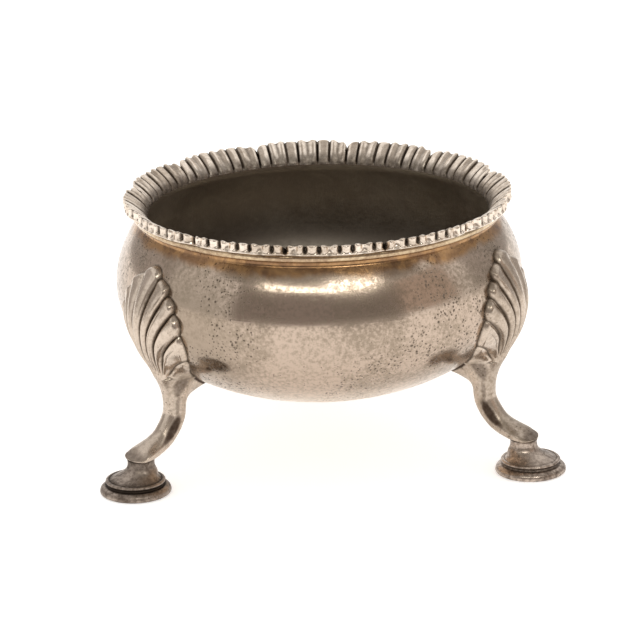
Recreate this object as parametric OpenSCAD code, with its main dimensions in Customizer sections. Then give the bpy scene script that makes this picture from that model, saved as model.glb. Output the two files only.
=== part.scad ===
// Open salt cellar of silver: a round raised bowl with a plain collar and a cast
// gadrooned border at its lip, carried on three cast legs. Each leg has a fluted
// shell at the knee and a stepped pad under the toe.
// Millimetres, +Z up. The origin is on the bowl's axis, at the height of the table.

/* [Bowl] */
// Widest outside diameter of the bowl
bowl_d = 67.6; // [62:0.2:74]
// Height of the widest point above the table
belly_z = 29.5; // [28:0.1:31]
// Depth of the bowl below its widest point, outside
lower_depth = 18.9; // [18:0.1:20]
// Half-axis of the ellipse that the shoulder follows above the widest point
shoulder_half_axis = 22.9; // [21.6:0.1:25]
// Height of the neck above the widest point
neck_rise = 10.6; // [9.8:0.1:11.4]
// Thickness of the silver sheet
wall = 0.8; // [0.6:0.05:1]
// Radius of the hollow curve between the shoulder and the upright lip
neck_hollow_r = 0.8; // [0.5:0.05:1.1]
// Height of the upright lip above that curve
lip_h = 1; // [0.8:0.05:1.2]

/* [Collar] */
// Height of the plain collar round the lip
collar_h = 1.6; // [1.4:0.05:1.8]
// How far the collar stands out from the lip
collar_w = 1; // [0.8:0.05:1.15]
// Height of the collar's underside above the foot of the lip
collar_lift = 0.4; // [0.2:0.05:0.5]

/* [Border] */
// Width of the border, from its inner edge to the tips of its reels
border_w = 4.1; // [3.8:0.05:4.5]
// Height of the border's crest above its inner edge
border_rise = 3.6; // [3.4:0.05:3.8]
// How far the border's inner edge hangs below the top of the lip
border_drop = 0.6; // [0.4:0.05:0.8]
// Thickness of the border inside the lip
border_inset = 0.8; // [0.65:0.05:0.95]
// Depth of the grooves between the lobes
groove_d = 0.6; // [0.4:0.05:0.7]
// Depth of the hollow along the middle of each wide reel
reel_hollow_d = 0.22; // [0.1:0.02:0.3]
// How far each narrow dart lies below the reels beside it
dart_drop = 0.2; // [0.1:0.02:0.3]
// How far the border's outline comes in between two scallops
scallop_d = 0.8; // [0.4:0.05:0.9]

/* [Shell knees] */
// Height of the shell's top above the bowl's widest point
shell_rise = 8.1; // [7.4:0.1:8.6]
// Distance from the bowl's widest point down to the joint of shell and leg
shell_drop = 11; // [10.5:0.1:11.5]
// Greatest width of the shell
shell_w = 16.6; // [15:0.1:18]
// Width of the joint between shell and leg
joint_w = 7.8; // [7:0.1:8.6]
// Thickness of the shell at its rim
shell_rim_t = 1.2; // [1:0.05:1.4]
// How far the knee stands out from the bowl
knee_out = 2.6; // [2.3:0.1:3]
// How far the front of the joint stands out from the bowl
joint_out = 5.4; // [5:0.1:5.8]
// Depth of the grooves between the shell's flutes
flute_d = 0.55; // [0.3:0.05:0.7]

/* [Legs] */
// How far the middle of each foot stands out from the widest part of the bowl
foot_out = 3.8; // [3:0.1:5]
// How far the middle of the ankle stands in from the middle of the foot
ankle_in = 8.1; // [7.6:0.1:8.8]
// Height of the ankle above the table
ankle_z = 13; // [12.6:0.1:13.4]
// Thickness of the ankle, seen from the side
ankle_t = 3.7; // [3.3:0.1:4.1]
// Width of the ankle, seen from the front
ankle_w = 4.5; // [4:0.1:5]
// Width of the toe
toe_w = 5.1; // [4.8:0.1:5.6]
// Thickness of the toe over the middle of the foot
toe_t = 1.6; // [1.4:0.05:1.9]
// How far the spur of the leg's head reaches in under the bowl
spur_l = 4.3; // [3.6:0.1:4.8]

/* [Pad feet] */
// Diameter of the pad's base disc
pad_d = 11.7; // [10.8:0.1:12.6]
// Height of the pad from the table to the toe
pad_h = 5.5; // [5.2:0.1:5.8]
// Thickness of the pad's base disc
pad_base_h = 1.8; // [1.5:0.05:2]
// Height of the step above the base disc
pad_step_h = 0.6; // [0.4:0.05:0.7]
// Diameter of the step
pad_step_d = 10.6; // [10.2:0.1:11]
// Diameter of the cone's foot
pad_cone_d = 8.6; // [8:0.1:8.8]
// Diameter of the pad's neck
pad_neck_d = 4.4; // [4:0.1:4.6]
// How far the neck stands in from the middle of the base disc
pad_neck_in = 0.9; // [0.4:0.05:1]
// Diameter of the spigot that is soldered into the toe
spigot_d = 1.6; // [1.2:0.1:1.8]
// Height of the spigot above the pad
spigot_h = 0.7; // [0.5:0.05:0.8]

/* [Joints] */
// Thickness of the solder film between two pieces
solder = 0.04; // [0.03:0.01:0.08]

/* [Hidden] */
$fn = 96;

// How many legs, lengths of border, scallops in a length and reels in a scallop
leg_count = 3;
length_count = 4;
scallops_per_length = 3;
reels_per_scallop = 3;
leg_turn = 360 / leg_count;
first_leg = 90;
length_turn = 360 / length_count;
scallop_turn = length_turn / scallops_per_length;
reel_turn = scallop_turn / reels_per_scallop;

silver = "#b9aa98";
silver_light = "#c9bca9";
silver_dark = "#8f8272";

bowl_r = bowl_d / 2;
// The bowl's shoulder turns into the neck at this angle of its ellipse
neck_angle = asin(neck_rise / shoulder_half_axis);
neck_slope = normal_angle(bowl_r * cos(neck_angle), neck_rise, shoulder_half_axis);
hollow_centre = [bowl_r * cos(neck_angle), belly_z + neck_rise]
    + neck_hollow_r * [cos(neck_slope), sin(neck_slope)];
lip_r = hollow_centre.x - neck_hollow_r;
lip_top_z = hollow_centre.y + lip_h;
collar_z = hollow_centre.y + collar_lift;
collar_top_z = collar_z + collar_h;
bowl_steps = 30;
hollow_steps = 6;

// The border's section, from its inner edge over the face and crest to its underside
border_low_z = lip_top_z - border_drop;
border_in_r = lip_r - wall - border_inset;
border_out_r = border_in_r + border_w;
face_place_shares = [0, 0.16, 0.4, 0.64, 0.82, 0.93, 1, 0.97];
face_height_shares = [0, 0.25, 0.55, 0.82, 0.97, 1, 0.87, 0.7];
// How far a groove cuts the section at each of those points, inwards and down
cut_in_shares = [0, 0, 0, 0.1, 0.2, 0.5, 0.9, 0.9];
cut_down_shares = [0, 0.5, 0.8, 1, 1, 0.8, 0.3, 0];
edge_height_share = 0.47;
edge_place_share = 0.91;

// One reel's turn: where each sample lies, how much of the groove's depth, of the
// reel's hollow and of the dart's drop it takes
sample_place_shares = [0, 0.07, 0.2, 0.31, 0.42, 0.55, 0.62, 0.7, 0.81, 0.92];
groove_shares = [1, 0.1, 0, 0, 0, 0.1, 1, 0.2, 0, 0.2];
hollow_shares = [0, 0, 0.5, 1, 0.5, 0, 0, 0, 0, 0];
dart_shares = [0, 0, 0, 0, 0, 0, 0.6, 1, 1, 1];
samples_per_reel = len(sample_place_shares);

// The shell's outline from its middle to its side: half-width and height at the tip
// of each flute, at the side of the last flute and at the end of the smooth cheek
side_flutes = 4;
cheek_place = side_flutes + 1.5;
tip_places = [0, 1, 2, 3, 4, 4.5, 5.5];
tip_width_shares = [0, 0.48, 0.71, 0.93, 1, 0.93, 0.72];
tip_height_shares = [1, 0.9, 0.79, 0.62, 0.4, 0.25, 0.12];
tip_notch_share = 0.07;
flute_foot_share = 0.46;
steps_per_flute = 4;
side_steps = steps_per_flute * (side_flutes + 0.5);
columns = concat([-cheek_place, -cheek_place + 0.5],
    [for (i = [-side_steps:side_steps]) i / steps_per_flute],
    [cheek_place - 0.5, cheek_place]);
// Rows up the shell from the joint to the rim, with how much of the rim's thickness
// the shell has there, how far the middle stands out beyond it as a share of what the
// knee has beyond it, and how much of a groove's depth the row has
row_shares = [0, 0.12, 0.25, 0.39, 0.53, 0.67, 0.8, 0.92, 1];
row_rim_shares = [1, 1, 1, 1, 1, 1, 1, 1, 0.39];
row_out_shares = [3, 2.12, 1.76, 1.46, 1.24, 0.88, 0.48, 0.08, 0];
row_flute_shares = [0, 0.1, 0.45, 0.8, 1, 1, 0.9, 0.6, 0.15];
side_bow_share = 0.5;
height_bow_share = 0.15;
shell_z = belly_z - shell_drop;
shell_h = shell_rise + shell_drop;
joint_side_share = 0.58;

// The leg's middle line from the toe's tip to the ankle: how far out between ankle
// and foot, how high between pad and ankle, and its half-thickness and half-width
foot_r = bowl_r + foot_out;
ankle_r = foot_r - ankle_in;
path_out_shares = [1.19, 1.12, 1, 0.84, 0.66, 0.48, 0.33, 0.2, 0.09, 0.02, 0];
path_height_shares = [0.06, 0.08, 0.112, 0.165, 0.2, 0.26, 0.35, 0.49, 0.67, 0.85, 1];
path_thick_shares = [0.1, 0.42, 1, 0.75, 0.82, 0.9, 0.96, 1, 1, 1, 1];
path_wide_shares = [0.3, 0.76, 1, 1.02, 0.97, 1.04, 1, 0.97, 0.97, 0.98, 1];
toe_rings = 3;
// The head's rings between the ankle and the joint, and the points of each ring:
// the front ones on each side lie on the joint's edge and the back ones on the spur's
head_ring_shares = [0.25, 0.5, 0.75, 0.9, 1];
ring_points = 16;
front_points = 4;
patch_columns = 4;
spur_reach_share = 1.2;
spur_taper_share = 0.8;

// Direction of the outward normal above the horizontal, on an ellipse of the bowl
function normal_angle(r, rise, half_axis) =
    atan2(rise / pow(half_axis, 2), r / pow(bowl_r, 2));

// A point of the bowl's outside at an angle of its ellipse, moved inwards
function bowl_point(angle, inwards) =
    let (half_axis = angle < 0 ? lower_depth : shoulder_half_axis,
         r = bowl_r * cos(angle),
         rise = half_axis * sin(angle),
         normal = normal_angle(r, rise, half_axis))
    [max(0, r - inwards * cos(normal)), belly_z + rise - inwards * sin(normal)];

// Radius of the bowl's outside at a height
function outside_r(z) =
    let (half_axis = z < belly_z ? lower_depth : shoulder_half_axis)
    bowl_r * sqrt(max(0, 1 - pow((z - belly_z) / half_axis, 2)));

// The bowl's outline on one side, from the bottom to the top of the lip
function bowl_side(inwards) = concat(
    [for (i = [0:bowl_steps - 1]) bowl_point(90 * (i / bowl_steps - 1), inwards)],
    [for (i = [0:bowl_steps / 2]) bowl_point(neck_angle * 2 * i / bowl_steps, inwards)],
    [for (i = [1:hollow_steps])
        let (angle = 180 + neck_slope * (1 - i / hollow_steps))
        hollow_centre + (neck_hollow_r + inwards) * [cos(angle), sin(angle)]],
    [[lip_r - inwards, lip_top_z]]);

// Value at x on straight lines through table points whose places rise
function along(x, places, values) =
    lookup(x, [for (i = [0:len(places) - 1]) [places[i], values[i]]]);

function reversed(list) = [for (i = [len(list) - 1:-1:0]) list[i]];

// A point given by its radius, its turn about the bowl's axis and its height
function at_turn(r, turn, z) = [r * cos(turn), r * sin(turn), z];

// Two triangles between four points of a grid
function cell(a, b, c, d) = [[a, b, c], [a, c, d]];

module bowl() {
    color(silver) rotate_extrude()
        polygon(concat(bowl_side(0), reversed(bowl_side(wall))));
}

// A half-round wire soldered round the outside of the lip
module collar() {
    half_h = collar_h / 2;
    color(silver_light) rotate_extrude()
        translate([lip_r + solder, collar_z + half_h])
            polygon([for (a = [-90:15:90]) [collar_w * cos(a), half_h * sin(a)]]);
}

// How far the border's outline comes in at a turn, between two scallops
function scallop_in(turn) =
    scallop_d * pow(abs(2 * (turn % scallop_turn) / scallop_turn - 1), 4);

// The border's section, cut by a groove's depth and set in between two scallops
function border_section(cut, set_in) = concat(
    [for (i = [0:len(face_place_shares) - 1])
        [border_in_r + (border_w - set_in) * face_place_shares[i] - cut * cut_in_shares[i],
         border_low_z + border_rise * face_height_shares[i] - cut * cut_down_shares[i]]],
    [[border_in_r + (border_w - set_in) * edge_place_share - cut / 2,
      border_low_z + border_rise * edge_height_share],
     [lip_r + solder, collar_top_z + solder],
     [lip_r + solder, lip_top_z + solder],
     [lip_r - wall - solder, lip_top_z + solder],
     [lip_r - wall - solder, border_low_z]]);

// One cast length of the border, which ends in the grooves between two scallops
module border_length(index) {
    samples = scallops_per_length * reels_per_scallop * samples_per_reel;
    end_turn = solder / border_out_r * 180 / PI;
    rings = [for (i = [0:samples])
        let (sample = i % samples_per_reel,
             reel = floor(i / samples_per_reel),
             turn = (reel + sample_place_shares[sample]) * reel_turn,
             last_dart = (reel % reels_per_scallop) == reels_per_scallop - 1,
             cut = groove_d * groove_shares[sample] + reel_hollow_d * hollow_shares[sample]
                 + dart_drop * dart_shares[sample] * (last_dart ? 2 : 1),
             shown = min(length_turn - end_turn, max(end_turn, turn)))
        [for (p = border_section(cut, scallop_in(turn)))
            at_turn(p.x, shown + scallop_turn / 2 + index * length_turn, p.y)]];
    sides = len(rings[0]);
    color(silver_light) polyhedron(
        [for (ring = rings) each ring],
        concat(
            [for (i = [0:samples - 1]) for (j = [0:sides - 1])
                let (a = i * sides + j, b = i * sides + (j + 1) % sides)
                each cell(a, a + sides, b + sides, b)],
            [[for (j = [0:sides - 1]) j]],
            [reversed([for (j = [0:sides - 1]) samples * sides + j])]));
}

// How far the front of the joint stands out from the bowl, at a distance from the
// leg's middle plane
function joint_stand(side) = joint_out * (1 - joint_side_share * pow(2 * side / joint_w, 2));

// Distance of a column's foot from the leg's middle plane
function column_foot(column) =
    sign(column) * joint_w / 2
        * along(abs(column), [0, side_flutes + 0.5, cheek_place], [0, flute_foot_share, 1]);

// How deep a column lies in the groove between two flutes, from 0 to 1
function groove_share(column) =
    let (place = abs(column))
    place > side_flutes + 0.5 ? 0 : pow(2 * abs(place - round(place)), 2);

// A point of the shell's face: distance from the middle plane, height, and how far
// it stands out from the bowl
function shell_point(column, row) =
    let (place = abs(column),
         foot = column_foot(column),
         notch = 1 - tip_notch_share * groove_share(column),
         tip = sign(column) * shell_w / 2 * along(place, tip_places, tip_width_shares),
         tip_h = shell_h * along(place, tip_places, tip_height_shares) * notch,
         t = row_shares[row],
         side = foot + (tip * notch - foot) * (t - side_bow_share * t * (1 - t)),
         height = tip_h * (t + height_bow_share * t * (1 - t)),
         out = shell_rim_t * row_rim_shares[row]
             + (knee_out - shell_rim_t) * row_out_shares[row] * (1 - pow(place / cheek_place, 2))
             - flute_d * row_flute_shares[row] * groove_share(column),
         blend = min(1, row / 2))
    [side, height, (1 - blend) * joint_stand(foot) + blend * out];

// A place on the shell, a distance out from the bowl, turned to its leg
function on_bowl(side, z, out, turn) =
    at_turn(outside_r(z) + solder + out, turn + side / bowl_r * 180 / PI, z);

module shell_knee(index) {
    turn = first_leg + index * leg_turn;
    rows = len(row_shares);
    faces_at = [for (column = columns) each [for (row = [0:rows - 1]) shell_point(column, row)]];
    count = len(faces_at);
    base_z = shell_z + solder;
    inner = function (column, row) count + column * rows + row;
    outer = function (column, row) column * rows + row;
    last_column = len(columns) - 1;
    last_row = rows - 1;
    color(silver_light) polyhedron(
        concat([for (p = faces_at) on_bowl(p.x, base_z + p.y, p.z, turn)],
               [for (p = faces_at) on_bowl(p.x, base_z + p.y, solder, turn)]),
        concat(
            [for (i = [0:last_column - 1]) for (j = [0:last_row - 1])
                each cell(outer(i, j), outer(i, j + 1), outer(i + 1, j + 1), outer(i + 1, j))],
            [for (i = [0:last_column - 1]) for (j = [0:last_row - 1])
                each cell(inner(i, j), inner(i + 1, j), inner(i + 1, j + 1), inner(i, j + 1))],
            [for (i = [0:last_column - 1])
                each cell(outer(i, 0), outer(i + 1, 0), inner(i + 1, 0), inner(i, 0))],
            [for (i = [0:last_column - 1])
                each cell(outer(i, last_row), inner(i, last_row),
                          inner(i + 1, last_row), outer(i + 1, last_row))],
            [for (j = [0:last_row - 1])
                each cell(outer(0, j), inner(0, j), inner(0, j + 1), outer(0, j + 1))],
            [for (j = [0:last_row - 1])
                each cell(outer(last_column, j), outer(last_column, j + 1),
                          inner(last_column, j + 1), inner(last_column, j))]));
}

// The leg's middle line at a ring, and the half-thickness and half-width there
function path_point(i) = [ankle_r + ankle_in * path_out_shares[i],
                          pad_h + (ankle_z - pad_h) * path_height_shares[i]];
function half_thickness(i) = path_thick_shares[i] * (i < toe_rings ? toe_t : ankle_t) / 2;
function half_width(i) = path_wide_shares[i] * (i < toe_rings + 2 ? toe_w : ankle_w) / 2;

// Upward direction across the middle line at a ring
function path_normal(i) =
    let (last = len(path_out_shares) - 1,
         d = path_point(min(last, i + 1)) - path_point(max(0, i - 1)),
         n = i == last ? [1, 0] : [d.y, -d.x])
    n / norm(n);

// A ring of the lower leg, as radius, distance from the middle plane and height.
// The toe's underside stays above the top of the pad.
function path_ring(i) =
    let (c = path_point(i), n = path_normal(i))
    [for (j = [0:ring_points - 1])
        let (a = 360 * j / ring_points,
             p = c + n * half_thickness(i) * cos(a))
        [p.x, half_width(i) * sin(a), max(pad_h + solder, p.y)]];

// Height of the leg's head under the bowl, at a radius
function spur_z(r) = belly_z - lower_depth * sqrt(1 - pow(r / bowl_r, 2)) - solder;

// The top ring of the leg's head: the front half lies on the joint's edge, and the
// back half runs under the bowl from the joint's corners to the spur
function head_point(j) =
    let (k = min(j, ring_points - j),
         way = j > ring_points / 2 ? -1 : 1)
    k < front_points
    ? let (side = joint_w / 2 * sin(90 * k / (front_points - 1)))
      [outside_r(shell_z) + solder + joint_stand(side), way * side, shell_z - solder]
    : let (t = (k - front_points) / (ring_points / 2 - front_points),
           r = outside_r(shell_z) - spur_l * pow(t, spur_reach_share))
      [r, way * joint_w / 2 * pow(1 - t, spur_taper_share), spur_z(r)];

// A ring of the head, between the ankle's ring and the top ring
function head_ring(share) =
    let (low = path_ring(len(path_out_shares) - 1))
    [for (j = [0:ring_points - 1])
        let (top = head_point(j), flare = share * share)
        [low[j].x + (top.x - low[j].x) * flare,
         low[j].y + (top.y - low[j].y) * flare,
         low[j].z + (top.z - low[j].z) * share]];

module leg(index) {
    turn = first_leg + index * leg_turn;
    rings = concat([for (i = [0:len(path_out_shares) - 1]) path_ring(i)],
                   [for (share = head_ring_shares) head_ring(share)]);
    last = len(rings) - 1;
    top = last * ring_points;
    half = ring_points / 2;
    rows = half - front_points;
    edge = [for (m = [0:rows]) head_point(front_points + m)];
    patch = [for (m = [0:rows - 1]) for (c = [1:patch_columns - 1])
        [edge[m].x, edge[m].y * (1 - 2 * c / patch_columns), edge[m].z]];
    first_patch = len(rings) * ring_points;
    patch_at = function (m, c)
        c == 0 ? top + front_points + m
        : c == patch_columns ? top + ring_points - front_points - m
        : first_patch + m * (patch_columns - 1) + c - 1;
    color(silver) difference() {
        polyhedron(
            [for (p = concat([for (ring = rings) each ring], patch))
                at_turn(p.x, turn + p.y / bowl_r * 180 / PI, p.z)],
            concat(
                [[0, 1, ring_points - 1], [half - 1, half, half + 1]],
                [for (j = [1:half - 2])
                    each cell(j, j + 1, ring_points - j - 1, ring_points - j)],
                [for (i = [0:last - 1]) for (j = [0:ring_points - 1])
                    let (a = i * ring_points + j,
                         b = i * ring_points + (j + 1) % ring_points)
                    each cell(a, a + ring_points, b + ring_points, b)],
                [for (m = [0:rows - 2]) for (c = [0:patch_columns - 1])
                    each cell(patch_at(m, c), patch_at(m, c + 1),
                              patch_at(m + 1, c + 1), patch_at(m + 1, c))],
                [for (c = [0:patch_columns - 1])
                    [patch_at(rows - 1, c), patch_at(rows - 1, c + 1), top + half]],
                [concat([for (j = [front_points:-1:-front_points])
                            top + (j + ring_points) % ring_points],
                        [for (c = [patch_columns - 1:-1:1]) patch_at(0, c)])]));
        rotate([0, 0, turn]) translate([foot_r - pad_neck_in, 0, 0])
            cylinder(r = spigot_d / 2 + solder, h = pad_h + spigot_h + solder);
    }
}

// A turned pad: a rounded base disc, a step, a hollow cone up to the neck, and the
// spigot that goes into the toe
module pad_foot(index) {
    base_r = pad_d / 2;
    round_r = pad_base_h / 2;
    cone_z = pad_base_h + pad_step_h;
    cone_h = pad_h - cone_z;
    cone_r = pad_cone_d / 2;
    neck_r = pad_neck_d / 2;
    color(silver_dark)
    rotate([0, 0, first_leg + index * leg_turn]) translate([foot_r, 0, 0]) union() {
        rotate_extrude() polygon(concat(
            [[0, 0]],
            [for (a = [-90:30:90]) [base_r - round_r + round_r * cos(a), round_r + round_r * sin(a)]],
            [[pad_step_d / 2, pad_base_h], [pad_step_d / 2, cone_z], [0, cone_z]]));
        translate([-pad_neck_in, 0, 0]) rotate_extrude() polygon(concat(
            [[0, 0], [cone_r, 0]],
            [for (a = [0:15:90])
                [cone_r - (cone_r - neck_r) * sin(a), cone_z + cone_h * (1 - cos(a))]],
            [[spigot_d / 2, pad_h], [spigot_d / 2, pad_h + spigot_h], [0, pad_h + spigot_h]]));
    }
}

bowl();
collar();
border_length(0);  // border_length_1
border_length(1);  // border_length_2
border_length(2);  // border_length_3
border_length(3);  // border_length_4
shell_knee(0);  // shell_knee_1
shell_knee(1);  // shell_knee_2
shell_knee(2);  // shell_knee_3
leg(0);  // leg_1
leg(1);  // leg_2
leg(2);  // leg_3
pad_foot(0);  // pad_foot_1
pad_foot(1);  // pad_foot_2
pad_foot(2);  // pad_foot_3
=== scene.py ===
"""Looks of an open salt cellar of silver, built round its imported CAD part.

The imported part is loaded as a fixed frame. Every node of it is replaced by a finer
piece in the same place, and the sizes that the two share are read from the frame.
Lengths are millimetres until a piece is finished, and metres from then on. Turns are
degrees round the bowl's axis, and dirt is a share from 0 to 1.
"""

import logging
import math
import random
from bisect import bisect_right
from dataclasses import astuple, dataclass
from enum import Enum
from typing import Sequence

import bmesh
import bpy
from mathutils import Matrix, Quaternion, Vector, noise


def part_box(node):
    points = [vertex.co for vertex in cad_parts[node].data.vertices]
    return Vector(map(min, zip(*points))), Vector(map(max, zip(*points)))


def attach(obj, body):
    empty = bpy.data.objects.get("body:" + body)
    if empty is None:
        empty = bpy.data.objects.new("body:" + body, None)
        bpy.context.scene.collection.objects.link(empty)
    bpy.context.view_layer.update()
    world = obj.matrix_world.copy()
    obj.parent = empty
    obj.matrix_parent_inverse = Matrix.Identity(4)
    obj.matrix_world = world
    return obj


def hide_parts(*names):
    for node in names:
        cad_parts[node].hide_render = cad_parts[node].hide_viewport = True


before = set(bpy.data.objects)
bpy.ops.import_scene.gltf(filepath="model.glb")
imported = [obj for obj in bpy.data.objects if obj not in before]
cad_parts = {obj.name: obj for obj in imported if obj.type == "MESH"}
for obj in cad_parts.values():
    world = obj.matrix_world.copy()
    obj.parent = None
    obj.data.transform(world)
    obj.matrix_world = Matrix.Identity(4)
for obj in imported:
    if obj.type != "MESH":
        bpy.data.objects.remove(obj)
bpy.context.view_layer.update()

MM = 0.001
LEG_TURNS = (90.0, 210.0, 330.0)
MERGE_MM = 0.002
LOG = logging.getLogger("salt_cellar")

Point = tuple[float, float]
Colour = tuple[float, float, float, float]
Socket = bpy.types.NodeSocket
Material = bpy.types.Material
Made = bmesh.types.BMesh
Vert = bmesh.types.BMVert
Layer = bmesh.types.BMLayerItem


class MaterialSlot(Enum):
    """The record's material slots."""

    BOWL = "bowl_silver"
    RIM = "rim_silver"
    SHELL = "shell_silver"
    LEG = "leg_silver"
    FOOT = "foot_silver"


class Mask(Enum):
    """The vertex attributes that the finishes read."""

    # Dirt, and also painted shade and painted reflections
    GRIME_AND_SHADE = "grime_and_shade"
    INSIDE = "inside"


def clamp(value: float, low: float = 0.0, high: float = 1.0) -> float:
    """Keeps a value between two limits."""
    return max(low, min(high, value))


def smooth(value: float) -> float:
    """Eases a share from 0 to 1 in and out."""
    share = clamp(value)
    return share * share * (3.0 - 2.0 * share)


def quarter_round(share: float) -> float:
    """Height of a quarter circle over its own span, from 0 at the edge to 1 inside."""
    return math.sqrt(max(0.0, 1.0 - (1.0 - clamp(share)) ** 2))


def spot(across: float, along: float) -> float:
    """Gives a soft-edged spot, 1 in its middle and 0 beyond its edge."""
    return smooth((1.3 - math.hypot(across, along)) / 0.8)


def node_box(node: str) -> tuple[Vector, Vector]:
    """Gives the lowest and highest corner of a CAD node, in millimetres."""
    low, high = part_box(node)
    return low / MM, high / MM


def at_turn(r: float, turn: float, z: float) -> Vector:
    """Places a point by its radius, its turn and its height."""
    angle = math.radians(turn)
    return Vector((r * math.cos(angle), r * math.sin(angle), z))


class Curve:
    """A smooth line through table points, with no overshoot between them."""

    def __init__(self, places: Sequence[float], values: Sequence[float]) -> None:
        """Works out the slope at each table point.

        Args:
            places: Rising places of the points.
            values: Value at each place.
        """
        self.places = list(places)
        self.values = list(values)
        last = len(self.places) - 1
        widths = [self.places[i + 1] - self.places[i] for i in range(last)]
        rises = [(self.values[i + 1] - self.values[i]) / widths[i] for i in range(last)]
        self.slopes = [rises[0]]
        for before, after in zip(rises, rises[1:]):
            product = before * after
            self.slopes.append(2.0 * product / (before + after) if product > 0.0 else 0.0)
        self.slopes.append(rises[-1])

    def at(self, place: float) -> float:
        """Gives the value at a place.

        Args:
            place: The place. Beyond the ends it counts as the end.

        Returns:
            The value.
        """
        place = clamp(place, self.places[0], self.places[-1])
        i = min(bisect_right(self.places, place) - 1, len(self.places) - 2)
        width = self.places[i + 1] - self.places[i]
        t = (place - self.places[i]) / width
        rise = self.values[i + 1] - self.values[i]
        bend = t * (1.0 - t) * width
        straight = self.values[i] + rise * smooth(t)
        return straight + bend * ((1.0 - t) * self.slopes[i] - t * self.slopes[i + 1])


def refined(table: Sequence[object], fine: int) -> list[list[float]]:
    """Adds points between those of a table, on smooth curves through its columns.

    Args:
        table: Dataclass rows of numbers.
        fine: Steps from each row to the next.

    Returns:
        The rows, each a list of its numbers.
    """
    curves = [Curve(range(len(table)), column) for column in zip(*map(astuple, table))]
    return [[curve.at(i / fine) for curve in curves] for i in range((len(table) - 1) * fine + 1)]


def new_layers(made: Made) -> Layer:
    """Adds the layers of the masks to a mesh under construction.

    Args:
        made: The mesh.

    Returns:
        The layer of dirt and painted shade.
    """
    for mask in Mask:
        made.verts.layers.float.new(mask.value)
    return made.verts.layers.float[Mask.GRIME_AND_SHADE.value]


def spun(outline: Sequence[Point], steps: int, start: float = 0.0, turn: float = 360.0,
         closed: bool = False) -> tuple[Made, Layer, Layer]:
    """Spins an outline of radius and height about the upright axis.

    Args:
        outline: Points of the outline, in order.
        steps: Steps of the spin.
        start: Turn at which the spin starts.
        turn: How far it goes.
        closed: Whether the last point joins the first.

    Returns:
        The mesh, its layer with each vertex's place in the outline, and its layer of dirt and
        painted shade.
    """
    made = bmesh.new()
    made.verts.layers.int.new("station")
    new_layers(made)
    station = made.verts.layers.int["station"]
    verts = []
    for index, (r, z) in enumerate(outline):
        vertex = made.verts.new(at_turn(r, start, z))
        vertex[station] = index
        verts.append(vertex)
    edges = [made.edges.new(pair) for pair in zip(verts, verts[1:])]
    if closed:
        edges.append(made.edges.new((verts[-1], verts[0])))
    whole = turn >= 360.0
    bmesh.ops.spin(made, geom=verts + edges, cent=(0, 0, 0), axis=(0, 0, 1), dvec=(0, 0, 0),
                   angle=math.radians(turn), steps=steps, use_merge=whole,
                   use_normal_flip=False, use_duplicate=False)
    if not whole:
        bmesh.ops.holes_fill(made, edges=[e for e in made.edges if e.is_boundary], sides=0)
    return made, station, made.verts.layers.float[Mask.GRIME_AND_SHADE.value]


def new_material(name: str) -> Material:
    """Adds a material with nodes.

    Args:
        name: Its name.

    Returns:
        The material.
    """
    material = bpy.data.materials.new(name)
    material.use_nodes = True
    return material


def new_object(name: str, made: Made, material: Material) -> bpy.types.Object:
    """Makes a mesh under construction an object of the scene.

    Args:
        name: Name of the object.
        made: The mesh, which is used up.
        material: Its material.

    Returns:
        The object.
    """
    mesh = bpy.data.meshes.new(name)
    made.to_mesh(mesh)
    made.free()
    mesh.materials.append(material)
    body = bpy.data.objects.new(name, mesh)
    bpy.context.scene.collection.objects.link(body)
    return body


@dataclass(frozen=True)
class Piece:
    """A finished piece of the salt: what it replaces and how it is dressed."""

    name: str
    nodes: tuple[str, ...]
    slot: MaterialSlot
    material: Material
    sharp_angle: float = 50.0  # Edges steeper than this stay sharp
    merge_mm: float = MERGE_MM  # Points closer than this merge

    def finish(self, made: Made) -> None:
        """Cleans a mesh, makes it an object in metres and puts it on the frame.

        Args:
            made: The mesh in millimetres, in the row frame.
        """
        bmesh.ops.remove_doubles(made, verts=made.verts, dist=self.merge_mm)
        bmesh.ops.dissolve_degenerate(made, dist=self.merge_mm / 10.0, edges=made.edges)
        bmesh.ops.recalc_face_normals(made, faces=made.faces)
        bmesh.ops.scale(made, vec=(MM, MM, MM), verts=made.verts)
        open_edges = sum(len(edge.link_faces) != 2 for edge in made.edges)
        body = new_object(self.name, made, self.material)
        body.data.shade_smooth()
        body.data.set_sharp_from_angle(angle=math.radians(self.sharp_angle))
        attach(body, "root")
        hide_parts(*self.nodes)
        LOG.info("%s: %d faces, %d open edges", self.name, len(body.data.polygons), open_edges)


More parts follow.
